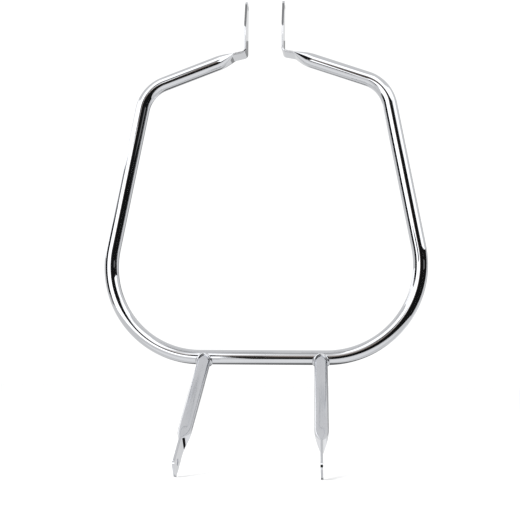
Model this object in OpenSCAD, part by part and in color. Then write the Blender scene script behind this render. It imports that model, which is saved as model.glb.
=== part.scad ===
// Engine guard for a motorcycle: one bent loop of tube with pressed, folded ears at the top,
// and two coped legs welded to its bottom bar, each pressed flat at the end for a bolt.
// X runs along the bottom bar, Z up in the plane of the loop, -Y the way the legs point.
// The origin lies on the axis of the upper bolt, half way between the two ears. Sizes in mm.

/* [Loop tube] */
// Outside diameter of the loop tube
tube_d = 31.8; // [25:0.1:42]
// Wall of the loop tube
tube_wall = 2.4; // [1.6:0.1:3.5]
// Half width of the loop at its sharp bottom corners, on the centre line
bottom_half = 378; // [300:1:460]
// Half width of the loop at its sharp top corners, on the centre line
top_half = 266; // [200:1:340]
// Height of the sharp top corners above the bottom bar, on the centre line
loop_rise = 594; // [480:1:700]
// Centre line radius of the two bottom bends
bottom_bend_r = 200; // [120:1:230]
// Centre line radius of the two top bends
top_bend_r = 76; // [60:1:110]
// Slope of the top arms above level, in degrees
arm_rise = 20; // [8:1:32]

/* [Pressed ears] */
// Clear gap between the two ears, where the frame bracket goes
ear_gap = 78; // [60:1:120]
// Length over which the tube goes from round to flat
press_len = 42; // [34:1:60]
// Length of the flat from there to the fold
shelf_len = 26; // [20:1:40]
// Slope of that flat above level, in degrees
shelf_rise = 12; // [2:1:19]
// Inside radius of the fold
fold_r = 5; // [3:0.5:9]
// Height of the ear above the fold, to the middle of its bolt hole
ear_rise = 108; // [90:1:130]
// Radius of the ear's nose round the bolt hole
ear_nose_r = 14; // [11:0.5:16]
// Set of the bolt hole towards the back of the ear
ear_hole_set = 8; // [2:0.5:9]
// Height above the fold where the leg side of the ear is cut back
ear_front_cut = 56; // [30:1:80]
// Height above the fold where the back of the ear is cut in
ear_back_cut = 84; // [60:1:92]
// Bolt hole through both ears
ear_hole_d = 10.5; // [8.5:0.5:13]

/* [Legs] */
// Outside diameter of the leg tube
leg_d = 28.6; // [22:0.1:31]
// Wall of the leg tube
leg_wall = 2.4; // [1.6:0.1:3.5]
// Distance between the two legs on the bottom bar, centre to centre
leg_spacing = 250; // [160:1:258]
// Angle of the legs below the line square to the loop, in degrees
leg_drop = 40; // [20:1:60]
// Outward splay of each leg, in degrees
leg_splay = 2.4; // [0:0.1:6]
// Round length of the leg, from the middle of the bar
leg_round_len = 228; // [120:1:300]
// Length over which the leg goes from round to flat
leg_press_len = 44; // [34:1:60]
// Length of the flat tab
leg_tab_len = 71; // [50:1:100]
// Corner radius of the tab
tab_corner_r = 11; // [4:0.5:16]
// Distance of the bolt hole from the end of the tab
leg_hole_in = 24; // [18:0.5:40]
// Bolt hole through the tab
leg_hole_d = 13; // [8.5:0.5:15]

/* [Welds] */
// Width of the weld bead on each tube
weld_leg = 5; // [3:0.5:8]
// Height that the bead stands proud of a flat fillet
weld_crown = 1.4; // [0.5:0.1:2.5]

/* [Hidden] */
$fn = 48;
// Bends swell by this much over the straight runs, and the runs reach a short way into them, so
// that no two round faces lie in one another
swell = 0.25;
lap = 0.1;
chrome = [0.8, 0.81, 0.83];
weld_tone = [0.66, 0.67, 0.7];

// Headings of the centre line, in degrees, starting along +X at the middle of the bar
side_heading = 90 + atan((bottom_half - top_half) / loop_rise);
arm_heading = 180 - arm_rise;
shelf_heading = 180 - shelf_rise;
function way(a) = [cos(a), sin(a)];

// Where each bend starts and ends
bottom_tan = bottom_bend_r * tan(side_heading / 2);
top_turn = arm_heading - side_heading;
top_tan = top_bend_r * tan(top_turn / 2);
bar_half = bottom_half - bottom_tan;
side_start = [bottom_half, 0] + bottom_tan * way(side_heading);
side_end = [top_half, loop_rise] - top_tan * way(side_heading);
arm_start = [top_half, loop_rise] + top_tan * way(arm_heading);

// The pressed end: its thickness is two walls, and its width is half the tube's girth
tube_r = tube_d / 2;
ear_t = 2 * tube_wall;
ear_half_w = press_reach(tube_r, tube_wall) + tube_wall;
ear_x = ear_gap / 2 + ear_t / 2;
flat_x = ear_x + shelf_len * cos(shelf_rise);
flat_start = [flat_x, loop_rise + (top_half - flat_x) * tan(arm_rise)];
press_start = flat_start - press_len * way(arm_heading);
fold_at = flat_start + shelf_len * way(shelf_heading);
kink_r = 30;
kink_tan = kink_r * tan((shelf_heading - arm_heading) / 2);
fold_mid_r = fold_r + ear_t / 2;
fold_tan = fold_mid_r * tan((shelf_heading - 90) / 2);
bolt_z = fold_at[1] + ear_rise;

// Legs
leg_r = leg_d / 2;
leg_x = leg_spacing / 2;
leg_foot = leg_x <= bar_half ? 0 : bottom_bend_r - sqrt(pow(bottom_bend_r, 2) - pow(leg_x - bar_half, 2));
tab_half_w = press_reach(leg_r, leg_wall) + leg_wall;
tab_start = leg_round_len + leg_press_len;
leg_len = tab_start + leg_tab_len;

// How far the middle of each rounded edge stands out once a tube of radius r is pressed to half
// thickness t. The girth of the wall stays the same.
function press_reach(r, t) = PI * (r - t) / 2;

// Half thickness of the pressed tube at share u of the way from round to flat
function press_half(u, r, wall) = wall + (r - wall) * cos(90 * u);

// A point of the pressed tube's section, at angle a of the round one. The first number lies along
// its width, the second along its thickness. It keeps its distance along the girth.
function edge_point(g, r, t) = g <= PI * t / 2
    ? [press_reach(r, t) + t * cos(g / t * 180 / PI), t * sin(g / t * 180 / PI)]
    : [press_reach(r, t) - (g - PI * t / 2), t];
function pressed_point(a, r, t) =
    a < 90 ? edge_point(a / 180 * PI * r, r, t)
    : a < 180 ? let (p = edge_point((180 - a) / 180 * PI * r, r, t)) [-p[0], p[1]]
    : a < 270 ? let (p = edge_point((a - 180) / 180 * PI * r, r, t)) [-p[0], -p[1]]
    : let (p = edge_point((360 - a) / 180 * PI * r, r, t)) [p[0], -p[1]];

// The whole section at share u of the way, with its points closer together where the two round
// edges form. Its corners stand out far enough for its sides to clear the round tube inside it.
edge_steps = 3;
side_steps = 16;
function pressed_ring(r, wall, u) =
    let (e = 90 * wall / r, side = (180 - 2 * e) / side_steps, outer = r / cos(side / 2) + swell,
        t = press_half(u, outer, wall))
    [for (s = [0, 180]) each concat(
        [for (i = [0 : edge_steps - 1]) pressed_point(s + e * i / edge_steps, outer, t)],
        [for (i = [0 : side_steps - 1]) pressed_point(s + e + side * i, outer, t)],
        [for (i = [0 : edge_steps - 1]) pressed_point(s + 180 - e + e * i / edge_steps, outer, t)])];
press_rings = 7;

// The hollow inside a pressed end along +Z, where the two walls close like a duck's bill. back is
// how far the round hollow reaches behind it.
bill_stops = [0.12, 0.35, 0.6, 0.8, 0.95];
module bill(r, wall, length, back) {
    lip = [for (u = bill_stops) [press_half(u, r, wall) - wall, u * length]];
    last = len(bill_stops) - 1;
    rotate([90, 0, 0]) linear_extrude(height = 2 * r, center = true)
        polygon(concat([[-r, -back], [r, -back], [r, 0]], lip,
            [for (i = [last : -1 : 0]) [-lip[i][0], lip[i][1]]], [[-r, 0]]));
}

// Skin over a list of sections with the same number of points, closed at both ends or as a ring
module loft(sections, ring) {
    n = len(sections[0]);
    m = len(sections);
    spans = ring ? m : m - 1;
    skin = [for (i = [0 : spans - 1], k = [0 : n - 1], half = [0, 1])
        let (a = i * n + k, b = i * n + (k + 1) % n, c = ((i + 1) % m) * n + (k + 1) % n, d = ((i + 1) % m) * n + k)
        half == 0 ? [a, c, b] : [a, d, c]];
    ends = ring ? [] : [[for (k = [0 : n - 1]) k], [for (k = [n - 1 : -1 : 0]) (m - 1) * n + k]];
    polyhedron(points = [for (s = sections, p = s) p], faces = concat(skin, ends), convexity = 6);
}

// Everything in the loop is drawn flat, with X along the bar, Y up the loop and Z towards the legs
module in_loop_plane() {
    rotate([90, 0, 0]) children();
}

// Bar coordinates to the part's own frame, which starts at the upper bolt
module seat() {
    translate([0, -ear_hole_set, -bolt_z]) children();
}

// A straight stretch of round bar or bore in the flat drawing. Each end reaches into its neighbour.
module run(p, q, r) {
    d = q - p;
    translate([p[0], p[1], 0]) rotate([0, 0, atan2(d[1], d[0])]) translate([-lap, 0, 0])
        rotate([0, 90, 0]) rotate([0, 0, -90]) cylinder(r = r, h = norm(d) + 2 * lap);
}

// A bend that starts at p with heading h and turns left by turn degrees
module bend(p, h, turn, bend_r, r) {
    c = p + bend_r * way(h + 90);
    translate([c[0], c[1], 0]) rotate([0, 0, h - 90])
        rotate_extrude(angle = turn, $fn = 96) translate([bend_r, 0]) circle(r = r + swell);
}

// Half of the loop's round tube at radius r, from the bar to the foot of the arm
module half_tube(r) {
    bend([bar_half, 0], 0, side_heading, bottom_bend_r, r);
    run(side_start, side_end, r);
    bend(side_end, side_heading, top_turn, top_bend_r, r);
}

// The arm's pressed end, section by section: place, heading and share of the way to flat. It goes
// from round to flat, takes a slight kink, runs along the shelf, folds up and ends above the nose.
kink_start = flat_start - kink_tan * way(arm_heading);
kink_mid = kink_start + kink_r * way(arm_heading + 90);
shelf_end = fold_at - fold_tan * way(shelf_heading);
fold_mid = shelf_end + fold_mid_r * way(shelf_heading - 90);
kink_steps = 3;
fold_steps = 9;
ear_reach = ear_rise + ear_nose_r + 1;
arm_sections = concat(
    [for (i = [0 : press_rings - 1]) let (u = i / press_rings)
        [press_start + u * press_len * way(arm_heading), arm_heading, u]],
    [for (i = [0 : kink_steps]) let (h = arm_heading + (shelf_heading - arm_heading) * i / kink_steps)
        [kink_mid + kink_r * way(h - 90), h, 1]],
    [for (i = [0 : fold_steps]) let (h = shelf_heading + (90 - shelf_heading) * i / fold_steps)
        [fold_mid + fold_mid_r * way(h + 90), h, 1]],
    [[fold_at + [0, ear_reach], 90, 1]]);

module pressed_arm() {
    loft([for (s = arm_sections) let (n = way(s[1] + 90))
        [for (p = pressed_ring(tube_r, tube_wall, s[2])) [s[0][0] + p[1] * n[0], s[0][1] + p[1] * n[1], -p[0]]]],
        false);
}

// Outline of the ear, seen from the side: first number up the ear, second towards the legs. Its
// straight edges end a little inside the nose, so that they cross its arc.
bite = 0.05;
nose = [ear_rise, -ear_hole_set];
front_corner = [ear_front_cut, ear_half_w];
back_corner = [ear_back_cut, -ear_half_w];
function touch(p, c, r, side) =
    let (d = p - c, a = atan2(d[1], d[0]) + side * acos(r / norm(d))) c + r * [cos(a), sin(a)];
module ear_outline() {
    polygon([[0, -ear_half_w - 1], [0, ear_half_w + 1], [ear_front_cut, ear_half_w + 1], front_corner,
        touch(front_corner, nose, ear_nose_r - bite, -1), touch(back_corner, nose, ear_nose_r - bite, 1),
        back_corner, [ear_back_cut, -ear_half_w - 1]]);
    translate(nose) circle(r = ear_nose_r);
}

// What is cut away round the ear's outline
module ear_trim() {
    translate([fold_at[0] - 2 * ear_t, fold_at[1], 0]) rotate([0, 90, 0]) rotate([0, 0, 90])
        linear_extrude(height = 4 * ear_t) difference() {
            translate([ear_front_cut / 2, -ear_half_w - 2]) square([ear_reach, 2 * ear_half_w + 4]);
            ear_outline();
        }
}

// Sets a shape drawn along +Z at the start of one arm's pressed end
module at_press() {
    translate([press_start[0], press_start[1], 0]) rotate([0, 0, arm_heading - 90]) rotate([-90, 0, 0])
        children();
}

module both_halves() {
    children();
    mirror([1, 0, 0]) children();
}

module guard_loop() {
    color(chrome) seat() in_loop_plane() difference() {
        union() {
            run([-bar_half, 0], [bar_half, 0], tube_r);
            both_halves() {
                half_tube(tube_r);
                run(arm_start, press_start, tube_r);
                pressed_arm();
            }
        }
        run([-bar_half, 0], [bar_half, 0], tube_r - tube_wall);
        both_halves() {
            half_tube(tube_r - tube_wall);
            intersection() {
                run(arm_start, flat_start, tube_r - tube_wall);
                at_press() bill(tube_r, tube_wall, press_len, top_half);
            }
            ear_trim();
        }
        translate([0, bolt_z, -ear_hole_set]) rotate([0, 90, 0])
            cylinder(d = ear_hole_d, h = ear_gap + 4 * ear_t, center = true);
    }
}

// Outline of the tab, seen from the side: first number across the tab, second along the leg
module tab_outline() {
    polygon([[-tab_half_w - 1, 0], [tab_half_w + 1, 0], [tab_half_w + 1, leg_len - tab_corner_r],
        [tab_half_w, leg_len - tab_corner_r], [tab_half_w - tab_corner_r, leg_len],
        [tab_corner_r - tab_half_w, leg_len], [-tab_half_w, leg_len - tab_corner_r],
        [-tab_half_w - 1, leg_len - tab_corner_r]]);
    for (s = [-1, 1])
        translate([s * (tab_half_w - tab_corner_r), leg_len - tab_corner_r]) circle(r = tab_corner_r);
}

// The leg along +Z, starting at the middle of the bar
leg_sections = concat(
    [for (i = [0 : press_rings]) let (u = i / press_rings) [leg_round_len + u * leg_press_len, u]],
    [[leg_len, 1]]);
module leg_blank() {
    cylinder(r = leg_r, h = leg_round_len + lap);
    loft([for (s = leg_sections) [for (p = pressed_ring(leg_r, leg_wall, s[1])) [-p[1], p[0], s[0]]]], false);
}

// What is cut away at the two corners of the tab
module tab_trim() {
    translate([-2 * leg_wall, 0, 0]) rotate([0, 0, 90]) rotate([90, 0, 0]) linear_extrude(height = 4 * leg_wall)
        difference() {
            translate([-tab_half_w - 2, tab_start + 1]) square([2 * tab_half_w + 4, leg_tab_len + 1]);
            tab_outline();
        }
}

module leg_hollow() {
    intersection() {
        translate([0, 0, -1]) cylinder(r = leg_r - leg_wall, h = tab_start + 1);
        translate([0, 0, leg_round_len]) bill(leg_r, leg_wall, leg_press_len, leg_round_len + 2);
    }
}

// Sets the right leg at its place on the loop's centre line, pointing down and out
module on_bar() {
    translate([leg_x, 0, leg_foot]) rotate([90 + leg_drop, 0, 0]) rotate([0, leg_splay, 0]) children();
}

// The bar and the right bend, which the right leg and its weld are shaped to
module bar_and_bend() {
    in_loop_plane() {
        run([-bar_half, 0], [bar_half, 0], tube_r);
        bend([bar_half, 0], 0, side_heading, bottom_bend_r, tube_r);
    }
}

module leg() {
    difference() {
        on_bar() difference() {
            leg_blank();
            leg_hollow();
            tab_trim();
            translate([0, 0, leg_len - leg_hole_in]) rotate([0, 90, 0])
                cylinder(d = leg_hole_d, h = 8 * leg_wall, center = true);
        }
        bar_and_bend();
    }
}

module right_leg() {
    color(chrome) seat() leg();
}

module left_leg() {
    color(chrome) seat() mirror([1, 0, 0]) leg();
}

// The weld follows the saddle where the leg meets the bar. For each angle round the leg it has a
// root in the corner, a toe on each tube and a rounded face between the toes.
leg_way = [sin(leg_splay), -cos(leg_splay) * cos(leg_drop), -cos(leg_splay) * sin(leg_drop)];
leg_side = [cos(leg_splay), sin(leg_splay) * cos(leg_drop), sin(leg_splay) * sin(leg_drop)];
leg_front = cross(leg_way, leg_side);
weld_steps = 60;
weld_face = 4;
function unit(v) = v / norm(v);
function out_way(a) = cos(a) * leg_side + sin(a) * leg_front;

// The bar and the bend that it runs into: the nearest point of their centre line, the way out from
// it, and the nearest point of their skin. The bead's flat facets clear the round tubes by a hair.
weld_clear = 0.03;
function core(p) = p[0] > bar_half
    ? [bar_half, 0, bottom_bend_r] + bottom_bend_r * unit([p[0] - bar_half, 0, p[2] - bottom_bend_r])
    : [p[0], 0, 0];
function skin_r(p) = tube_r + weld_clear + (p[0] > bar_half - weld_leg / 2 ? swell : 0);
function bar_up(p) = unit(p - core(p));
function on_skin(p) = core(p) + skin_r(p) * bar_up(p);

// How far from q along the leg that skin is, found by halving
function reach(q, low, high, n) =
    let (mid = (low + high) / 2, p = q + mid * leg_way)
    n == 0 ? mid : norm(p - core(p)) > skin_r(p) ? reach(q, low, mid, n - 1) : reach(q, mid, high, n - 1);

// A step of length s over that skin from p, away from the leg
function bar_step(p, a, s) =
    let (n = bar_up(p), o = out_way(a), t = unit(o - (o * n) * n))
    on_skin(p + s * t);

function weld_section(a) =
    let (q = [leg_x, 0, leg_foot] + (leg_r + weld_clear) * out_way(a),
        root = q + reach(q, 0, 2 * tube_r, 24) * leg_way, toe_leg = root + weld_leg * leg_way,
        near = bar_step(root, a, weld_leg / 3), far = bar_step(near, a, weld_leg / 3),
        toe_bar = bar_step(far, a, weld_leg / 3), lift = unit(out_way(a) + bar_up(root)))
    concat([root, toe_leg],
        [for (i = [1 : weld_face - 1]) let (u = i / weld_face)
            toe_leg * (1 - u) + toe_bar * u + lift * weld_crown * 4 * u * (1 - u)],
        [toe_bar, far, near]);

module weld() {
    loft([for (i = [0 : weld_steps - 1]) weld_section(i * 360 / weld_steps)], true);
}

module right_leg_weld() {
    color(weld_tone) seat() weld();
}

module left_leg_weld() {
    color(weld_tone) seat() mirror([1, 0, 0]) weld();
}

guard_loop();
left_leg();
right_leg();
left_leg_weld();
right_leg_weld();
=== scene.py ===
# %% [markdown]
# # A chromed engine guard, dressed for its picture
# The guard is one loop of bent steel tube whose ends are pressed flat and folded up into two ears,
# and two legs that are welded to its bottom bar. This lesson loads the engineering model as a fixed
# frame, and builds a finer skin over each piece of it: smooth sweeps for the tubes, a softly
# rippled bead for the welds, and plated metal for everything.

# %% Load the frame
import math
import bmesh
import bpy
from mathutils import Matrix, Vector


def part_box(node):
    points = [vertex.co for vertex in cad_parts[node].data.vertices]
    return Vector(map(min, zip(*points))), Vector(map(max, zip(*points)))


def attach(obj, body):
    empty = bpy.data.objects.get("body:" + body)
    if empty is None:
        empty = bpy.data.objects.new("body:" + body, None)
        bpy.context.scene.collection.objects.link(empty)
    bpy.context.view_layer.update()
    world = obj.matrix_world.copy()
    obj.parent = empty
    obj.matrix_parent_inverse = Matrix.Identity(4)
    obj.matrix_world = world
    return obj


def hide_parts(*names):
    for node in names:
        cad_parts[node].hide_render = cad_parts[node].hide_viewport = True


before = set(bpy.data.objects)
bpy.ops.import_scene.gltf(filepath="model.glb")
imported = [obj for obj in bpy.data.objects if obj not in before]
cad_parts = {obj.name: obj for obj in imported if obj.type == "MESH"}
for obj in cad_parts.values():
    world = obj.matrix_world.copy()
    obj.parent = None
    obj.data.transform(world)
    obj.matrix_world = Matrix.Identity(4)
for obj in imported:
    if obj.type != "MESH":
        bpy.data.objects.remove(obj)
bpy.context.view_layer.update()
print("nodes", sorted(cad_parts))

# %% [markdown]
# ## The driving sizes
# A tube bender works from the tube, the bend radii and the sharp corners of the centre line. The
# same few sizes drive every skin here, so the skins lie on the frame's solids. All lengths are in
# metres. The origin is on the upper bolt, X runs along the bottom bar, Z up the loop, and the legs
# point towards -Y.

# %% Sizes of the loop
MM = 0.001
TUBE_R = 15.9 * MM
TUBE_WALL = 2.4 * MM
BOTTOM_HALF = 378 * MM
TOP_HALF = 266 * MM
LOOP_RISE = 594 * MM
BOTTOM_BEND_R = 200 * MM
TOP_BEND_R = 76 * MM
ARM_HEADING = math.radians(180 - 20)
SHELF_HEADING = math.radians(180 - 12)
HALF_EAR_GAP = 39 * MM
PRESS_LEN = 42 * MM
SHELF_LEN = 26 * MM
KINK_R = 30 * MM
FOLD_R = 5 * MM
EAR_RISE = 108 * MM
EAR_NOSE_R = 14 * MM
EAR_HOLE_SET = 8 * MM
EAR_HOLE_R = 5.25 * MM

# %% Sizes that follow from them
def along(heading):
    """One step in the plane of the loop, as (x, z)."""
    return Vector((math.cos(heading), math.sin(heading)))


SIDE_HEADING = math.pi / 2 + math.atan((BOTTOM_HALF - TOP_HALF) / LOOP_RISE)
BOTTOM_TAN = BOTTOM_BEND_R * math.tan(SIDE_HEADING / 2)
TOP_TAN = TOP_BEND_R * math.tan((ARM_HEADING - SIDE_HEADING) / 2)
EAR_T = 2 * TUBE_WALL
EAR_HALF_W = math.pi * (TUBE_R - TUBE_WALL) / 2 + TUBE_WALL
FLAT_X = HALF_EAR_GAP + EAR_T / 2 - SHELF_LEN * math.cos(SHELF_HEADING)
FLAT_START = Vector((FLAT_X, LOOP_RISE - (TOP_HALF - FLAT_X) * math.tan(ARM_HEADING)))
FOLD_AT = FLAT_START + SHELF_LEN * along(SHELF_HEADING)
BAR_Z = -(FOLD_AT.y + EAR_RISE)
LOOP_Y = -EAR_HOLE_SET

# %% [markdown]
# ## The centre line
# A tube bender's drawing is a walk: so far straight on, then a turn of so many degrees round a die,
# then straight on again. A small walker keeps the place and the heading, and leaves a station
# wherever the skin needs a section. Each station also knows how far the tube is pressed there,
# from 0, round, to 1, flat. One half is walked and the other is its mirror image.

# %% A walker that leaves stations
class Walk:
    """Walks in the plane of the loop. A station is a place, a heading and how far it is pressed."""

    def __init__(self):
        self.at, self.heading, self.pressed = Vector((0, 0)), 0.0, 0.0
        self.stations = []
        self.leave()

    def leave(self):
        self.stations.append((self.at.copy(), self.heading, self.pressed))

    def straight(self, length, steps=1, pressed=None):
        start, change = self.pressed, (0 if pressed is None else pressed - self.pressed)
        for i in range(1, steps + 1):
            self.at = self.at + along(self.heading) * (length / steps)
            self.pressed = start + change * i / steps
            self.leave()

    def turn(self, angle, radius, steps):
        side = 1 if angle > 0 else -1
        centre = self.at + radius * along(self.heading + side * math.pi / 2)
        for i in range(steps):
            self.heading += angle / steps
            self.at = centre + radius * along(self.heading - side * math.pi / 2)
            self.leave()


# %% Walk one half and mirror it
NOSE_TRIM = 0.2 * MM  # the blank ends just inside the cropped nose
KINK_TAN = KINK_R * math.tan((SHELF_HEADING - ARM_HEADING) / 2)
FOLD_MID_R = FOLD_R + EAR_T / 2
FOLD_TAN = FOLD_MID_R * math.tan((SHELF_HEADING - math.pi / 2) / 2)
side_length = math.hypot(BOTTOM_HALF - TOP_HALF, LOOP_RISE) - BOTTOM_TAN - TOP_TAN
arm_length = (TOP_HALF - FLAT_X) / -math.cos(ARM_HEADING) - TOP_TAN - PRESS_LEN

walk = Walk()
walk.straight(BOTTOM_HALF - BOTTOM_TAN, steps=4)
walk.turn(SIDE_HEADING, BOTTOM_BEND_R, steps=48)
walk.straight(side_length, steps=6)
walk.turn(ARM_HEADING - SIDE_HEADING, TOP_BEND_R, steps=28)
walk.straight(arm_length, steps=3)
walk.straight(PRESS_LEN - KINK_TAN, steps=16, pressed=1.0)
walk.turn(SHELF_HEADING - ARM_HEADING, KINK_R, steps=4)
walk.straight(SHELF_LEN - KINK_TAN - FOLD_TAN, steps=2)
walk.turn(math.pi / 2 - SHELF_HEADING, FOLD_MID_R, steps=14)
walk.straight(EAR_RISE + EAR_NOSE_R - NOSE_TRIM - FOLD_TAN, steps=4)
half = walk.stations
loop_stations = [(Vector((-p.x, p.y)), -h, u) for p, h, u in reversed(half[1:])] + half
print("stations round the loop", len(loop_stations))

# %% [markdown]
# ## Tube that can be pressed flat
# A press squeezes the wall without stretching it, so the girth stays the same: the section goes
# from a circle to two flat sides with a half-round edge at each end. That is a rule, so Geometry
# Nodes build the skin. A circle is swept along the stations, and each of its points is then moved
# to where the pressed section has it. To keep the formula readable, a small class lets sockets be
# added, multiplied and divided like numbers, and makes a Math node for each step.

# %% Formulas made of nodes
class Flow:
    """A number that flows between nodes."""

    def __init__(self, tree, socket):
        self.tree, self.socket = tree, socket

    def step(self, operation, *others):
        node = self.tree.nodes.new("ShaderNodeMath")
        node.operation = operation
        for i, value in enumerate((self,) + others):
            if isinstance(value, Flow):
                self.tree.links.new(value.socket, node.inputs[i])
            else:
                node.inputs[i].default_value = value
        return Flow(self.tree, node.outputs[0])

    def __add__(self, other):
        return self.step("ADD", other)

    def __sub__(self, other):
        return self.step("SUBTRACT", other)

    def __mul__(self, other):
        return self.step("MULTIPLY", other)

    def __truediv__(self, other):
        return self.step("DIVIDE", other)


# %% Small helpers for trees
def new_tree(name, inputs):
    """A geometry tree with a Geometry input, the named inputs and a Geometry output."""
    tree = bpy.data.node_groups.new(name, "GeometryNodeTree")
    face = tree.interface
    face.new_socket("Geometry", in_out="INPUT", socket_type="NodeSocketGeometry")
    for label, kind in inputs.items():
        face.new_socket(label, in_out="INPUT", socket_type=kind)
    face.new_socket("Geometry", in_out="OUTPUT", socket_type="NodeSocketGeometry")
    return tree, tree.nodes.new("NodeGroupInput"), tree.nodes.new("NodeGroupOutput")


def add(tree, kind, settings=None, **inputs):
    """Adds a node, and sets its options and its inputs. Underscores in names stand for spaces."""
    node = tree.nodes.new(kind)
    for key, value in (settings or {}).items():
        setattr(node, key, value)
    for key, value in inputs.items():
        socket = next(s for s in node.inputs if s.enabled and s.name == key.replace("_", " "))
        if isinstance(value, Flow):
            value = value.socket
        if isinstance(value, bpy.types.NodeSocket):
            tree.links.new(value, socket)
        else:
            socket.default_value = value
    return node


def live(node):
    """The node's first output that its options leave in use."""
    return next(s for s in node.outputs if s.enabled)


def carried(tree, name, kind):
    """Reads an attribute that a station or the swept circle carries."""
    return live(add(tree, "GeometryNodeInputNamedAttribute", {"data_type": kind}, Name=name))


def vector_sum(tree, first, second):
    node = add(tree, "ShaderNodeVectorMath", {"operation": "ADD"})
    tree.links.new(first, node.inputs[0])
    tree.links.new(second, node.inputs[1])
    return node.outputs[0]


# %% The tree for pressed tube
def pressed_tube_tree():
    tree, given, outcome = new_tree("pressed_tube", {
        "Radius": "NodeSocketFloat", "Wall": "NodeSocketFloat", "Round Steps": "NodeSocketInt",
        "Material": "NodeSocketMaterial"})
    centre = add(tree, "GeometryNodeInputPosition").outputs[0]
    line = add(tree, "GeometryNodeMeshToCurve", Mesh=given.outputs["Geometry"]).outputs[0]
    line = add(tree, "GeometryNodeStoreNamedAttribute",
               {"data_type": "FLOAT_VECTOR", "domain": "POINT"},
               Geometry=line, Name="centre", Value=centre).outputs[0]
    ring = add(tree, "GeometryNodeCurvePrimitiveCircle",
               Resolution=given.outputs["Round Steps"], Radius=1.0)
    share = add(tree, "GeometryNodeSplineParameter").outputs["Factor"]
    ring = add(tree, "GeometryNodeStoreNamedAttribute", {"data_type": "FLOAT", "domain": "POINT"},
               Geometry=ring.outputs[0], Name="turn", Value=share).outputs[0]
    skin = add(tree, "GeometryNodeCurveToMesh",
               Curve=line, Profile_Curve=ring, Fill_Caps=True).outputs[0]

    # the pressed section: half its thickness, half its flat, and how far round its edge a point is
    radius, wall = Flow(tree, given.outputs["Radius"]), Flow(tree, given.outputs["Wall"])
    turn = Flow(tree, carried(tree, "turn", "FLOAT")) * (2 * math.pi)
    pressed = Flow(tree, carried(tree, "pressed", "FLOAT")) * (math.pi / 2)
    half_t = wall + (radius - wall) * pressed.step("COSINE")
    reach = (radius - half_t) * (math.pi / 2)
    girth = turn.step("COSINE").step("ABSOLUTE").step("MINIMUM", 1.0).step("ARCCOSINE") * radius
    past_edge = girth - half_t * (math.pi / 2)
    bend = (girth / half_t).step("MINIMUM", math.pi / 2)
    width = reach + half_t * bend.step("COSINE") - past_edge.step("MAXIMUM", 0.0)
    height = half_t * bend.step("SINE")
    width = width * turn.step("COSINE").step("SIGN")
    height = height * turn.step("SINE").step("SIGN")

    wide = add(tree, "ShaderNodeVectorMath", {"operation": "SCALE"},
               Vector=carried(tree, "across", "FLOAT_VECTOR"), Scale=width).outputs[0]
    thick = add(tree, "ShaderNodeVectorMath", {"operation": "SCALE"},
                Vector=carried(tree, "side", "FLOAT_VECTOR"), Scale=height).outputs[0]
    place = vector_sum(tree, carried(tree, "centre", "FLOAT_VECTOR"), vector_sum(tree, wide, thick))
    skin = add(tree, "GeometryNodeSetPosition", Geometry=skin, Position=place).outputs[0]
    skin = add(tree, "GeometryNodeRealizeInstances", Geometry=skin).outputs[0]
    skin = add(tree, "GeometryNodeSetMaterial",
               Geometry=skin, Material=given.outputs["Material"]).outputs[0]
    tree.links.new(skin, outcome.inputs[0])
    return tree


PRESSED_TUBE = pressed_tube_tree()
print("nodes in the tube's tree", len(PRESSED_TUBE.nodes))

# %% Run a tree on a guide and keep the result
def into_scene(name, data):
    """A new object in the scene for a mesh, a lamp or a camera."""
    thing = bpy.data.objects.new(name, data)
    bpy.context.scene.collection.objects.link(thing)
    return thing


def finished_mesh(thing):
    """The object's mesh with its modifiers worked in."""
    seen = thing.evaluated_get(bpy.context.evaluated_depsgraph_get())
    return bpy.data.meshes.new_from_object(seen)


def grown(name, guide, tree, values):
    """The mesh that a tree makes from a guide mesh, as an object of its own."""
    holder = into_scene(name + "_guide", guide)
    modifier = holder.modifiers.new(tree.name, "NODES")
    modifier.node_group = tree
    for item in tree.interface.items_tree:
        if item.item_type == "SOCKET" and item.in_out == "INPUT" and item.name in values:
            modifier[item.identifier] = values[item.name]
    mesh = finished_mesh(holder)
    mesh.name = name
    holder.modifiers.remove(modifier)
    bpy.data.objects.remove(holder)
    return into_scene(name, mesh)


def guide_line(name, points, closed=False, **attributes):
    """A line of points with attributes, for a tree to follow."""
    mesh = bpy.data.meshes.new(name)
    edges = [(i, i + 1) for i in range(len(points) - 1)]
    if closed:
        edges.append((len(points) - 1, 0))
    mesh.from_pydata([tuple(p) for p in points], edges, [])
    for label, values in attributes.items():
        kind = "FLOAT" if isinstance(values[0], float) else "FLOAT_VECTOR"
        layer = mesh.attributes.new(label, kind, "POINT")
        for item, value in zip(layer.data, values):
            if kind == "FLOAT":
                item.value = value
            else:
                item.vector = value
    return mesh


# %% [markdown]
# ## Plated metal
# Polished chrome is all reflection: a bright, faintly blue metal with almost no blur. Real plating
# over drawn tube isn't a perfect mirror. It has a slight orange peel, and wiping marks that blur
# the picture in it by different amounts. The legs look more satin than the loop, so their blur is
# wider, and it clears again on their pressed ends. The welds are plated too, a little greyer.

# %% Chrome
WIPING = (0.35, 0.7)   # the part of the noise that the wiping marks use
GRAIN_FINER = 14       # the peel is this much finer than the wiping marks
PEEL_DEPTH = 0.4 * MM
FADE_UP = 20 * MM      # the blur of the legs comes back over this height
PRESSED_BLUR = 0.15    # how much of the blur is left on the pressed end
LEG_CLEARS_AT = -0.945


def shader(name):
    material = bpy.data.materials.new(name)
    material.use_nodes = True
    tree = material.node_tree
    return material, tree, next(n for n in tree.nodes if n.type == "BSDF_PRINCIPLED")


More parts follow.
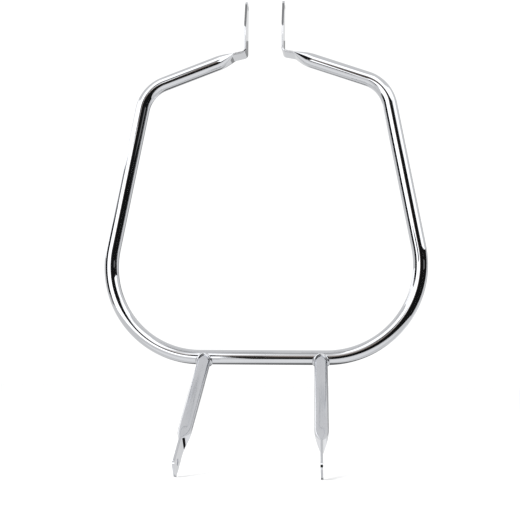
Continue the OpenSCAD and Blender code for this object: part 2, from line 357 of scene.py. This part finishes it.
def remap(tree, value, start, end, low, high):
    """A value whose range from start to end becomes low to high."""
    node = add(tree, "ShaderNodeMapRange", Value=value)
    ends = {"From Min": start, "From Max": end, "To Min": low, "To Max": high}
    for label, number in ends.items():
        node.inputs[label].default_value = number
    return Flow(tree, node.outputs["Result"])


def chrome(name, bright, dull, smooth, rough, peel, scale, clear_below=None):
    """Plated metal. bright and dull are its two colours, smooth and rough the range of its blur,
    which fades out below the height clear_below."""
    material, tree, surface = shader(name)
    place = add(tree, "ShaderNodeTexCoord").outputs["Object"]
    wiping = add(tree, "ShaderNodeTexNoise", {"noise_dimensions": "3D"},
                 Vector=place, Scale=scale, Detail=4.0, Roughness=0.55).outputs["Fac"]
    blur = remap(tree, wiping, *WIPING, smooth, rough)
    if clear_below is not None:
        height = add(tree, "ShaderNodeSeparateXYZ", Vector=place).outputs["Z"]
        blur = blur * remap(tree, height, clear_below, clear_below + FADE_UP, PRESSED_BLUR, 1.0)
    tree.links.new(blur.socket, surface.inputs["Roughness"])
    tone = add(tree, "ShaderNodeMix", {"data_type": "RGBA"},
               Factor=wiping, A=(*bright, 1), B=(*dull, 1))
    tree.links.new(live(tone), surface.inputs["Base Color"])
    grain = add(tree, "ShaderNodeTexNoise", {"noise_dimensions": "3D"},
                Vector=place, Scale=scale * GRAIN_FINER, Detail=2.0, Roughness=0.5)
    bump = add(tree, "ShaderNodeBump",
               Strength=peel, Distance=PEEL_DEPTH, Height=grain.outputs["Fac"])
    tree.links.new(bump.outputs[0], surface.inputs["Normal"])
    surface.inputs["Metallic"].default_value = 1.0
    surface.inputs["Specular IOR Level"].default_value = 0.5
    return material


# %% The three finishes
chromed_tube = chrome("chromed_tube", (0.63, 0.64, 0.66), (0.58, 0.59, 0.615),
                      smooth=0.025, rough=0.055, peel=0.012, scale=18.0)
chromed_leg = chrome("chromed_leg", (0.63, 0.64, 0.665), (0.56, 0.57, 0.60),
                     smooth=0.14, rough=0.20, peel=0.006, scale=22.0,
                     clear_below=LEG_CLEARS_AT)
chromed_weld = chrome("chromed_weld", (0.63, 0.64, 0.66), (0.54, 0.55, 0.575),
                      smooth=0.06, rough=0.14, peel=0.03, scale=60.0)
print("finishes", [m.name for m in (chromed_tube, chromed_leg, chromed_weld)])

# %% [markdown]
# ## The loop
# The tree sweeps the loop in one piece, ears included. On the real guard the ears are then cropped
# in a die and drilled, so the skin is cropped and drilled the same way, with exact cutters. A
# narrow bevel rounds the cropped edges as polishing does, and the cut faces keep flat shading.

# %% Sweep the loop
ROUND_STEPS = 96


def in_space(p):
    return Vector((p.x, LOOP_Y, BAR_Z + p.y))


def sweep(name, points, across, side, pressed, radius, wall, finish):
    guide = guide_line(name + "_line", points, across=across, side=side, pressed=pressed)
    return grown(name, guide, PRESSED_TUBE, {
        "Radius": radius, "Wall": wall, "Round Steps": ROUND_STEPS, "Material": finish})


guard_loop = sweep(
    "guard_loop_skin",
    [in_space(p) for p, h, u in loop_stations],
    [Vector((0, 1, 0))] * len(loop_stations),
    [Vector((-math.sin(h), 0, math.cos(h))) for p, h, u in loop_stations],
    [float(u) for p, h, u in loop_stations], TUBE_R, TUBE_WALL, chromed_tube)
print("loop skin", len(guard_loop.data.vertices), "vertices")

# %% Cutters
def face_outwards(mesh, merge=0.0):
    """Merges points that lie within the given distance, and turns all faces outwards."""
    shape = bmesh.new()
    shape.from_mesh(mesh)
    if merge:
        bmesh.ops.remove_doubles(shape, verts=shape.verts, dist=merge)
    bmesh.ops.recalc_face_normals(shape, faces=shape.faces)
    shape.to_mesh(mesh)
    shape.free()


def prism(name, outline, low, high, to_space):
    """A closed block: an outline of (a, b) points from depth low to high, each placed by
    to_space(a, b, depth)."""
    mesh = bpy.data.meshes.new(name)
    n = len(outline)
    points = [to_space(a, b, depth) for depth in (low, high) for a, b in outline]
    sides = [[i, (i + 1) % n, n + (i + 1) % n, n + i][::-1] for i in range(n)]
    mesh.from_pydata(points, [], [list(range(n)), list(range(2 * n - 1, n - 1, -1))] + sides)
    face_outwards(mesh)
    return into_scene(name, mesh)


def drill(name, radius, centre, way, length, steps=48):
    """A round cutter through a centre, along a direction."""
    turn = Vector(way).to_track_quat("Z", "Y").to_matrix()
    ring = [(radius * math.cos(2 * math.pi * i / steps), radius * math.sin(2 * math.pi * i / steps))
            for i in range(steps)]
    return prism(name, ring, -length / 2, length / 2,
                 lambda a, b, d: Vector(centre) + turn @ Vector((a, b, d)))


# %% Cut, round the edges and smooth
MERGE = 1e-7
POLISHED_EDGE = 0.35 * MM
BEVEL_FROM = math.radians(50)
SHARP_FROM = math.radians(38)
FLAT_WEIGHT = 90


def settle(piece):
    """Works the piece's modifiers into its mesh and takes them off."""
    mesh = finished_mesh(piece)
    piece.modifiers.clear()
    piece.data = mesh


def cut(piece, cutters):
    """Cuts the blocks out of a piece, rounds the new edges and smooths the rest."""
    face_outwards(piece.data, merge=MERGE)
    for cutter in cutters:
        modifier = piece.modifiers.new("cut", "BOOLEAN")
        modifier.operation, modifier.solver, modifier.object = "DIFFERENCE", "EXACT", cutter
    bevel = piece.modifiers.new("polished_edge", "BEVEL")
    bevel.width, bevel.segments = POLISHED_EDGE, 2
    bevel.limit_method, bevel.angle_limit = "ANGLE", BEVEL_FROM
    bevel.use_clamp_overlap = True
    settle(piece)
    for cutter in cutters:
        bpy.data.objects.remove(cutter)
    piece.data.shade_smooth()
    piece.data.set_sharp_from_angle(angle=SHARP_FROM)
    flat = piece.modifiers.new("flat_faces_stay_flat", "WEIGHTED_NORMAL")
    flat.weight, flat.keep_sharp = FLAT_WEIGHT, True
    settle(piece)
    print(piece.name, len(piece.data.polygons), "faces", [m.name for m in piece.data.materials])


# %% The outline of an ear
EAR_FRONT_CUT = 56 * MM
EAR_BACK_CUT = 84 * MM


def arc(centre, radius, start, end, steps):
    return [(centre[0] + radius * math.cos(start + (end - start) * i / steps),
             centre[1] + radius * math.sin(start + (end - start) * i / steps))
            for i in range(steps + 1)]


def tangent_angle(point, centre, radius, side):
    """Direction from the centre to where the line from the point touches the circle."""
    dx, dy = point[0] - centre[0], point[1] - centre[1]
    return math.atan2(dy, dx) + side * math.acos(radius / math.hypot(dx, dy))


nose = (0.0, 0.0)
front = (EAR_FRONT_CUT - EAR_RISE, -(EAR_HALF_W + EAR_HOLE_SET))
back = (EAR_BACK_CUT - EAR_RISE, EAR_HALF_W - EAR_HOLE_SET)
start = tangent_angle(front, nose, EAR_NOSE_R, 1)
end = tangent_angle(back, nose, EAR_NOSE_R, -1)
start = start if start < end else start - 2 * math.pi
over = (end - start) % (2 * math.pi)
print("nose arc from", round(math.degrees(start)), "to", round(math.degrees(end)))

# %% Crop both ears and drill the upper bolt's holes
NOSE_STEPS = 40
WASTE = 0.05           # the waste block reaches this far from the upper bolt
EAR_CLEAR = 4 * MM     # and this far past both faces of an ear
UPPER_DRILL = 0.12


def ear_waste(sign):
    """The waste round one ear: everything outside its outline, above the fold."""
    outline = [front, *arc(nose, EAR_NOSE_R, start, start + over, NOSE_STEPS), back,
               (back[0], WASTE), (WASTE, WASTE), (WASTE, -WASTE), (front[0], -WASTE)]
    return prism("ear_waste", outline, HALF_EAR_GAP - EAR_CLEAR, HALF_EAR_GAP + EAR_T + EAR_CLEAR,
                 lambda up, y, x: (sign * x, y, up))


cut(guard_loop, [ear_waste(1), ear_waste(-1),
                 drill("upper_bolt", EAR_HOLE_R, (0, 0, 0), (1, 0, 0), UPPER_DRILL)])
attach(guard_loop, "root")
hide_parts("guard_loop")

# %% [markdown]
# ## The legs
# A leg is a shorter, thinner tube. Its upper end is coped with a hole saw to sit on the bar, and
# its lower end is pressed flat, its corners are rounded and it is drilled. The same tree makes it.
# The legs drop 40 degrees below square to the loop and splay a little outwards.

# %% Sizes and directions of the legs
LEG_R = 14.3 * MM
LEG_WALL = 2.4 * MM
LEG_X = 125 * MM
LEG_DROP = math.radians(40)
LEG_SPLAY = math.radians(2.4)
LEG_ROUND_LEN = 228 * MM
LEG_PRESS_LEN = 44 * MM
LEG_TAB_LEN = 71 * MM
TAB_CORNER_R = 11 * MM
LEG_HOLE_IN = 24 * MM
LEG_HOLE_R = 6.5 * MM
LEG_LEN = LEG_ROUND_LEN + LEG_PRESS_LEN + LEG_TAB_LEN
TAB_HALF_W = math.pi * (LEG_R - LEG_WALL) / 2 + LEG_WALL


def leg_frame(sign):
    """Start on the bar's centre line, and the leg's directions: along it, outwards, and across."""
    start_at = Vector((sign * LEG_X, LOOP_Y, BAR_Z))
    way = Vector((sign * math.sin(LEG_SPLAY), -math.cos(LEG_SPLAY) * math.cos(LEG_DROP),
                  -math.cos(LEG_SPLAY) * math.sin(LEG_DROP)))
    out = Vector((sign * math.cos(LEG_SPLAY), math.sin(LEG_SPLAY) * math.cos(LEG_DROP),
                  math.sin(LEG_SPLAY) * math.sin(LEG_DROP)))
    return start_at, way, out, way.cross(out)


print("leg length", round(LEG_LEN, 3), "tab width", round(2 * TAB_HALF_W, 4))

# %% Where a leg has its sections
ROUND_MARKS, PRESS_MARKS, TAB_MARKS = 12, 18, 4
leg_marks = (
    [(LEG_ROUND_LEN * i / ROUND_MARKS, 0.0) for i in range(ROUND_MARKS)]
    + [(LEG_ROUND_LEN + LEG_PRESS_LEN * i / PRESS_MARKS, i / PRESS_MARKS)
       for i in range(PRESS_MARKS + 1)]
    + [(LEG_ROUND_LEN + LEG_PRESS_LEN + LEG_TAB_LEN * i / TAB_MARKS, 1.0)
       for i in range(1, TAB_MARKS + 1)])
print("stations along a leg", len(leg_marks))

# %% Sweep, cope, crop and drill each leg
TAB_CLEAR = 3 * MM     # the corner cutters reach this far past the tab's outline
TAB_CUT_DEPTH = 0.01   # and this far to both sides of it
CORNER_STEPS = 12
LEG_DRILL, SAW_LENGTH = 0.04, 0.12


def make_leg(name, sign):
    start_at, way, out, across = leg_frame(sign)
    count = len(leg_marks)
    leg = sweep(name, [start_at + way * d for d, u in leg_marks], [across] * count, [out] * count,
                [float(u) for d, u in leg_marks], LEG_R, LEG_WALL, chromed_leg)
    end_at = start_at + way * LEG_LEN

    def tab_space(a, b, depth):
        return end_at + across * a + way * b + out * depth

    wide, c = TAB_HALF_W + TAB_CLEAR, TAB_CORNER_R
    angles = [math.pi / 2 * i / CORNER_STEPS for i in range(CORNER_STEPS + 1)]
    cutters = []
    for side in (1, -1):
        rim = [(side * (TAB_HALF_W - c + c * math.sin(t)), -c + c * math.cos(t)) for t in angles]
        outline = rim + [(side * wide, -c), (side * wide, TAB_CLEAR),
                         (side * (TAB_HALF_W - c), TAB_CLEAR)]
        cutters.append(prism("tab_corner", outline, -TAB_CUT_DEPTH, TAB_CUT_DEPTH, tab_space))
    cutters.append(drill("leg_bolt", LEG_HOLE_R, end_at - way * LEG_HOLE_IN, out, LEG_DRILL))
    cutters.append(drill("hole_saw", TUBE_R, start_at, (1, 0, 0), SAW_LENGTH, steps=ROUND_STEPS))
    cut(leg, cutters)
    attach(leg, "root")
    return leg


right_leg = make_leg("right_leg_skin", 1)
left_leg = make_leg("left_leg_skin", -1)
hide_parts("right_leg")
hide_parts("left_leg")

# %% [markdown]
# ## The welds
# A weld is laid down one small pool at a time, and each pool freezes as a ripple over the last
# one. Here the ripples are shallow. The bead follows the saddle where the leg's round skin meets
# the bar's. Ripples repeat along a path, so Geometry Nodes lay them: a core runs along the saddle,
# and long beads are set on it at a steady pitch, each a little larger or smaller than the last.

# %% The saddle
WELD_STEPS = 120
WELD_PROUD = 1.1 * MM  # the bead's centre stands this far off the corner of the two skins


def saddle_point(sign, angle):
    """A point where the leg's skin meets the bar's, and the way the weld faces there."""
    start_at, way, out, across = leg_frame(sign)
    outward = out * math.cos(angle) + across * math.sin(angle)
    q = start_at + outward * LEG_R
    y, z = q.y - LOOP_Y, q.z - BAR_Z
    a = way.y ** 2 + way.z ** 2
    b = y * way.y + z * way.z
    s = (-b + math.sqrt(b * b - a * (y * y + z * z - TUBE_R ** 2))) / a
    root = q + way * s
    bar_up = Vector((0, root.y - LOOP_Y, root.z - BAR_Z)).normalized()
    return root, (outward + bar_up).normalized()


def weld_line(sign):
    ends = [saddle_point(sign, 2 * math.pi * i / WELD_STEPS) for i in range(WELD_STEPS)]
    return [root + face * WELD_PROUD for root, face in ends]


# %% The tree for a rippled bead
CORE_SHARE = 0.98      # the core's radius, as a share of the beads'


def rippled_bead_tree():
    tree, given, outcome = new_tree("rippled_bead", {
        "Bead Radius": "NodeSocketFloat", "Pitch": "NodeSocketFloat",
        "Ripple Length": "NodeSocketFloat", "Unevenness": "NodeSocketFloat",
        "Seed": "NodeSocketInt", "Material": "NodeSocketMaterial"})
    radius = Flow(tree, given.outputs["Bead Radius"])
    uneven = Flow(tree, given.outputs["Unevenness"])
    line = add(tree, "GeometryNodeMeshToCurve", Mesh=given.outputs["Geometry"]).outputs[0]
    ring = add(tree, "GeometryNodeCurvePrimitiveCircle",
               Resolution=16, Radius=radius * CORE_SHARE).outputs[0]
    core = add(tree, "GeometryNodeCurveToMesh", Curve=line, Profile_Curve=ring).outputs[0]
    spots = add(tree, "GeometryNodeCurveToPoints", {"mode": "LENGTH"},
                Curve=line, Length=given.outputs["Pitch"])
    bead = add(tree, "GeometryNodeMeshUVSphere", Segments=20, Rings=10, Radius=radius).outputs[0]
    size = live(add(tree, "FunctionNodeRandomValue", {"data_type": "FLOAT"},
                    Min=uneven * -1.0 + 1.0, Max=uneven + 1.0, Seed=given.outputs["Seed"]))
    long = Flow(tree, given.outputs["Ripple Length"]) / radius
    shape = add(tree, "ShaderNodeCombineXYZ", X=size, Y=size, Z=long).outputs[0]
    beads = add(tree, "GeometryNodeInstanceOnPoints", Points=spots.outputs["Points"],
                Instance=bead, Rotation=spots.outputs["Rotation"], Scale=shape).outputs[0]
    whole = add(tree, "GeometryNodeJoinGeometry")
    tree.links.new(beads, whole.inputs[0])
    tree.links.new(core, whole.inputs[0])
    skin = add(tree, "GeometryNodeRealizeInstances", Geometry=whole.outputs[0]).outputs[0]
    skin = add(tree, "GeometryNodeSetShadeSmooth", Geometry=skin).outputs[0]
    skin = add(tree, "GeometryNodeSetMaterial",
               Geometry=skin, Material=given.outputs["Material"]).outputs[0]
    tree.links.new(skin, outcome.inputs[0])
    return tree


RIPPLED_BEAD = rippled_bead_tree()
print("nodes in the bead's tree", len(RIPPLED_BEAD.nodes))

# %% Lay both welds
for weld_name, sign, seed in (("right_leg_weld", 1, 3), ("left_leg_weld", -1, 8)):
    path = guide_line(weld_name + "_line", weld_line(sign), closed=True)
    weld = grown(weld_name + "_skin", path, RIPPLED_BEAD, {
        "Bead Radius": 3.5 * MM, "Pitch": 2.0 * MM, "Ripple Length": 5.0 * MM,
        "Unevenness": 0.015, "Seed": seed, "Material": chromed_weld})
    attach(weld, "root")
    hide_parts(weld_name)
    print(weld.name, len(weld.data.polygons), "faces")

# %% [markdown]
# ## The studio
# Chrome shows nothing but its surroundings, so the studio is built for the reflections: white air
# all round, and large bright and dark cards that are seen only in reflections. The pale floor is
# the other way round. It carries the picture's ground and is left out of reflections, where cards
# stand for it. The air is a little darker in reflections than it is behind the object.

# %% Floor
FLOOR_GAP = 0.5 * MM
FLOOR_HALF = 30
floor_z = min(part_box("left_leg")[0][2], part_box("right_leg")[0][2]) - FLOOR_GAP


def studio_sheet(name, points, faces, material):
    """A sheet that belongs to the studio, not to the object."""
    mesh = bpy.data.meshes.new(name)
    mesh.from_pydata(points, [], faces)
    mesh.materials.append(material)
    sheet = into_scene(name, mesh)
    return sheet


floor_paint, _, floor_surface = shader("pale_floor")
floor_surface.inputs["Base Color"].default_value = (0.93, 0.93, 0.93, 1)
floor_surface.inputs["Roughness"].default_value = 0.9
floor_surface.inputs["Specular IOR Level"].default_value = 0.0
floor = studio_sheet("floor", [(FLOOR_HALF * x, FLOOR_HALF * y, floor_z)
                               for x, y in ((-1, -1), (1, -1), (1, 1), (-1, 1))],
                     [(0, 1, 2, 3)], floor_paint)
floor.visible_glossy = False
print("floor at z", round(floor_z, 4))

# %% Air
AIR_IN_REFLECTIONS = 0.88
AIR_BEHIND = 1.08

world = bpy.data.worlds.new("studio_air")
bpy.context.scene.world = world
world.use_nodes = True
world_tree = world.node_tree
mirrored = world_tree.nodes["Background"]
behind = world_tree.nodes.new("ShaderNodeBackground")
for ground, strength in ((mirrored, AIR_IN_REFLECTIONS), (behind, AIR_BEHIND)):
    ground.inputs["Color"].default_value = (1, 1, 1, 1)
    ground.inputs["Strength"].default_value = strength
seen_by = world_tree.nodes.new("ShaderNodeLightPath")
chosen = world_tree.nodes.new("ShaderNodeMixShader")
world_tree.links.new(seen_by.outputs["Is Glossy Ray"], chosen.inputs[0])
world_tree.links.new(behind.outputs[0], chosen.inputs[1])
world_tree.links.new(mirrored.outputs[0], chosen.inputs[2])
world_tree.links.new(chosen.outputs[0], world_tree.nodes["World Output"].inputs[0])

# %% [markdown]
# ## The cards
# Each card is a patch of a ball round the object. Its corners are set by the compass and by
# height, in degrees: 0 is where the legs point, 90 is towards +X. A tube's skin turns through half
# a circle, so it shows every card as a thin line along it, and the line moves in a bend. Most
# cards are far away. A near one shows in one part of the object only.

# %% Hang a card
middle = Vector((0, LOOP_Y, -0.5))
FAR, JUST_BEFORE, ROOM, OVERHEAD, ARM_REACH = 8.0, 7.9, 3.0, 1.6, 1.0  # metres from the middle
CARD_STEPS = 14
WHITE = (1, 1, 1)


def on_ball(compass, height, far):
    a, e = math.radians(compass), math.radians(height)
    level = math.cos(e)
    return middle + far * Vector((math.sin(a) * level, -math.cos(a) * level, math.sin(e)))


def between(corners, u, v, k):
    """One angle of the point at (u, v) on the card: k is 0 for its compass, 1 for its height."""
    low = (1 - u) * corners[0][k] + u * corners[1][k]
    high = (1 - u) * corners[3][k] + u * corners[2][k]
    return (1 - v) * low + v * high


def card(name, corners, bright, tint=WHITE, far=FAR):
    """A card whose corners are low left, low right, high right and high left."""
    shares = [i / CARD_STEPS for i in range(CARD_STEPS + 1)]
    points = [on_ball(between(corners, u, v, 0), between(corners, u, v, 1), far)
              for v in shares for u in shares]
    row = CARD_STEPS + 1
    faces = [(j * row + i, j * row + i + 1, (j + 1) * row + i + 1, (j + 1) * row + i)
             for j in range(CARD_STEPS) for i in range(CARD_STEPS)]
    material = bpy.data.materials.new(name)
    material.use_nodes = True
    nodes = material.node_tree.nodes
    nodes.clear()
    glow = nodes.new("ShaderNodeEmission")
    glow.inputs["Color"].default_value = (*tint, 1)
    glow.inputs["Strength"].default_value = bright
    material.node_tree.links.new(glow.outputs[0], nodes.new("ShaderNodeOutputMaterial").inputs[0])
    sheet = studio_sheet(name, points, faces, material)
    sheet.visible_camera = sheet.visible_diffuse = False
    sheet.visible_shadow = sheet.visible_transmission = False


def block(left, right, low, high):
    return [(left, low), (right, low), (right, high), (left, high)]


# %% The dark room in front and to the right
card("dark_room", [(0, -27), (44, -27), (46, 20), (-2, 22)], 0.010)
card("dark_foot", [(-7.5, -29), (0, -27), (-1, -4), (-8.5, -4)], 0.012)
card("dark_door_foot", [(-8.5, -4), (-1, -4), (-1, 5), (-8.5, 5)], 0.06, (1.0, 0.80, 0.70))
card("brown_door", [(-8.5, 5), (-1, 5), (-2, 19), (-9, 19)], 0.34, (1.0, 0.85, 0.76))
card("door_light", [(-10, 19), (-2, 22), (-2, 34), (-11, 34)], 0.85, (1.0, 0.94, 0.90))
card("dark_corner", block(-22, -10, 15, 27), 0.10)
card("dark_over_bend", block(8, 43, 8, 26), 0.012, far=ROOM)
card("dark_by_bend", [(-24, -7), (-6, -8), (-4, 2), (-22, 3)], 0.03, far=ARM_REACH)
card("door_glint", block(45, 64, 3, 7.5), 0.20, far=JUST_BEFORE)
card("low_dark_right", [(44, -27), (82, -27), (112, 14), (46, 14)], 0.012)

# %% The dark strip on the left
card("left_dark", [(-92, -9), (-57, -9), (-58, 16), (-98, 16)], 0.012, far=JUST_BEFORE)
card("left_dark_top", [(-98, 16), (-60, 16), (-64, 20), (-94, 20)], 0.30, far=JUST_BEFORE)
card("left_dark_foot", [(-90, -15), (-60, -15), (-57, -9), (-92, -9)], 0.30, far=JUST_BEFORE)

# %% The windows
card("window_left", [(-61, -14), (-9, -14), (-9, 15), (-64, 15)], 2.0)
card("window_left_high", [(-116, 20), (-58, 20), (-58, 32), (-116, 32)], 1.7)
card("window_left_middle", [(-62, 15), (-23, 15), (-23, 34), (-58, 34)], 2.0)
card("window_left_far", block(-150, -90, 9, 20), 1.6)
card("window_high", [(-62, 34), (-2, 34), (-22, 60), (-64, 60)], 1.9)
card("window_high_right", [(-2, 24), (44, 24), (44, 60), (-2, 50)], 1.9)
card("window_right", [(48, 14), (90, 14), (92, 46), (50, 46)], 1.8)

# %% Above, below and behind
card("ceiling_beam", block(-32, 8, 59.5, 71), 0.34, far=OVERHEAD)
card("shadowed_paper", block(144, 180, -4, 22), 0.38)
card("lit_floor", block(-70, 70, -78, -37), 1.10)
# Painted shade: this dim card stands for the shadow that the bar casts on the paper below it, and
# it darkens the bar's lower rim in reflections.
card("shaded_paper_under_bar", block(150, 210, -86, -28), 0.18)
card("low_paper_right", block(124, 158, -30, -12), 1.12)
card("low_paper_left", block(-160, -140, -22, -9), 1.05)
card("dark_on_paper", block(133.2, 136.7, -24, -20.6), 0.012, far=JUST_BEFORE)

# %% Lamp
LAMP_AT, LAMP_AIM = Vector((-1.6, -1.8, 1.6)), Vector((0, 0, -0.6))
LAMP_SIZE, LAMP_POWER = 1.4, 60

light = bpy.data.lights.new("soft_lamp", "AREA")
light.shape, light.size, light.energy = "SQUARE", LAMP_SIZE, LAMP_POWER
lamp = into_scene("soft_lamp", light)
lamp.location = LAMP_AT
lamp.rotation_euler = (LAMP_AIM - LAMP_AT).to_track_quat("-Z", "Y").to_euler()
lamp.visible_glossy = False

# %% [markdown]
# ## The camera
# The picture was taken from about 2.2 metres away, at the height of the bottom bar, from a little
# to the right and looking slightly up. The camera's place and angles were fitted to the tube's
# edges in the photograph. The focal length is given in picture points, and a small shift stands
# for the crop.

# %% Camera
PICTURE = 520
SENSOR = 36
SIGHT = 100
FOCAL = 1000.0
CENTRE_X, CENTRE_Y = 249.6, 274.8
YAW, PITCH, ROLL = math.radians(-6.783), math.radians(-5.984), math.radians(0.458)
STAND = Vector((225.3, -2144.6, -47.7)) * MM + Vector((0, LOOP_Y, BAR_Z))

camera_data = bpy.data.cameras.new("camera")
camera_data.sensor_width = SENSOR
camera_data.lens = FOCAL / PICTURE * SENSOR
camera_data.shift_x = (PICTURE / 2 - CENTRE_X) / PICTURE
camera_data.shift_y = (CENTRE_Y - PICTURE / 2) / PICTURE
camera_data.clip_end = SIGHT
camera = into_scene("camera", camera_data)
look = (Matrix.Rotation(ROLL, 3, "Y") @ Matrix.Rotation(PITCH, 3, "X")
        @ Matrix.Rotation(YAW, 3, "Z"))
axes = Matrix((look[0], look[2], -Vector(look[1]))).transposed()
camera.matrix_world = Matrix.Translation(STAND) @ axes.to_4x4()
bpy.context.scene.camera = camera
bpy.context.scene.view_settings.view_transform = "Standard"
print("camera at", [round(v, 3) for v in STAND], "lens", round(camera_data.lens, 1), "mm")
